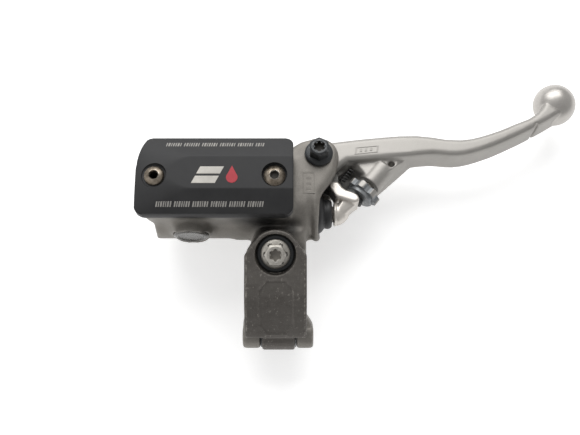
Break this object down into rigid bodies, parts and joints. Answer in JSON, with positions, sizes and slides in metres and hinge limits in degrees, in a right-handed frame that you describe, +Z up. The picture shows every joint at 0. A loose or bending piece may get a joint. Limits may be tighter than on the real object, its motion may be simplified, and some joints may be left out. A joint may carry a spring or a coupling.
{
  "type": "brake master cylinder",
  "caption": "Hydraulic front brake master cylinder with square reservoir, hinged handlebar clamp, reach adjuster and ball-ended hand lever.",
  "frame": {"origin": "centre of the 22.2 mm handlebar bore, on the clamp's mid-plane", "axes": "+X along the handlebar towards the lever's ball end, +Y forward, away from the rider, +Z up, square to the reservoir cap"},
  "size_m": [0.1991, 0.1253, 0.0539],
  "materials": {
    "cast_body": "grey anodised, fine-blasted die casting",
    "cast_clamp": "dark grey anodised casting, lightly rubbed edges",
    "black_anodised": "bead-blasted black anodise",
    "satin_aluminium": "satin natural",
    "bright_aluminium": "bright machined",
    "grey_anodised": "dark grey anodised",
    "stainless": "plain stainless",
    "zinc": "zinc plated",
    "black_steel": "black zinc, satin",
    "spring_steel": "drawn wire",
    "bronze": "sintered bronze",
    "rubber": "matt moulded",
    "black_plastic": "matt moulded",
    "clear_lens": "clear"
  },
  "bodies": {
    "housing": {"master_body": "cast_body", "reservoir_cap": "black_anodised", "diaphragm": "rubber", "diaphragm_plate": "black_plastic", "baffle_plate": "stainless", "cap_screw_left": "stainless", "cap_screw_right": "stainless", "sight_glass": "clear_lens", "sight_glass_seal": "rubber", "clamp_hinge_pin": "zinc", "pivot_bolt": "black_steel", "pivot_nut": "black_steel", "return_spring": "spring_steel", "piston_stop_washer": "stainless", "piston_circlip": "spring_steel", "piston_boot": "rubber"},
    "clamp": {"clamp_cap": "cast_clamp", "clamp_bolt": "zinc", "clamp_bolt_washer": "black_steel"},
    "piston_assembly": {"piston": "satin_aluminium", "primary_cup": "rubber", "secondary_cup": "rubber"},
    "pusher": {"knuckle": "bright_aluminium", "pivot_bush": "bronze", "knuckle_spring": "spring_steel"},
    "lever": {"brake_lever": "satin_aluminium"},
    "adjuster_carrier": {"adjuster_pad": "black_steel"},
    "adjuster": {"adjuster_wheel": "grey_anodised", "adjuster_screw": "zinc"}
  },
  "joints": [
    {"name": "clamp_open", "type": "hinge", "parent": "housing", "child": "clamp", "pos_m": [0, -0.01807, -0.00679], "axis": [1, 0, 0], "range_deg": [0, 100]},
    {"name": "lever_pull", "type": "hinge", "parent": "housing", "child": "pusher", "pos_m": [0.0187, 0.05751, -0.005], "axis": [0, -0.0872, -0.9962], "range_deg": [0, 18], "stiffness_Nm_per_rad": 1.5, "springref_deg": -20.05, "deforming": ["piston_boot"]},
    {"name": "piston_slide", "type": "slide", "parent": "housing", "child": "piston_assembly", "axis": [-1, 0, 0], "range_m": [0, 0.0077], "deforming": ["return_spring", "piston_boot"]},
    {"name": "reach_adjust", "type": "hinge", "parent": "pusher", "child": "lever", "pos_m": [0.0187, 0.05751, -0.005], "axis": [0, -0.0872, -0.9962], "range_deg": [-3.5, 3.5], "deforming": ["knuckle_spring"]},
    {"name": "adjuster_travel", "type": "slide", "parent": "lever", "child": "adjuster_carrier", "axis": [0.62, 0.7816, -0.0684], "range_m": [-0.0015, 0.0015]},
    {"name": "adjuster_turn", "type": "hinge", "parent": "adjuster_carrier", "child": "adjuster", "pos_m": [0.0385, 0.04476, -0.00388], "axis": [0.62, 0.7816, -0.0684], "range_deg": [-208, 208]}
  ],
  "couplings": [
    {"joint": "piston_slide", "follows": "lever_pull", "m_per_rad": 0.024},
    {"joint": "adjuster_travel", "follows": "reach_adjust", "m_per_rad": 0.02347},
    {"joint": "adjuster_turn", "follows": "reach_adjust", "ratio": 59}
  ]
}
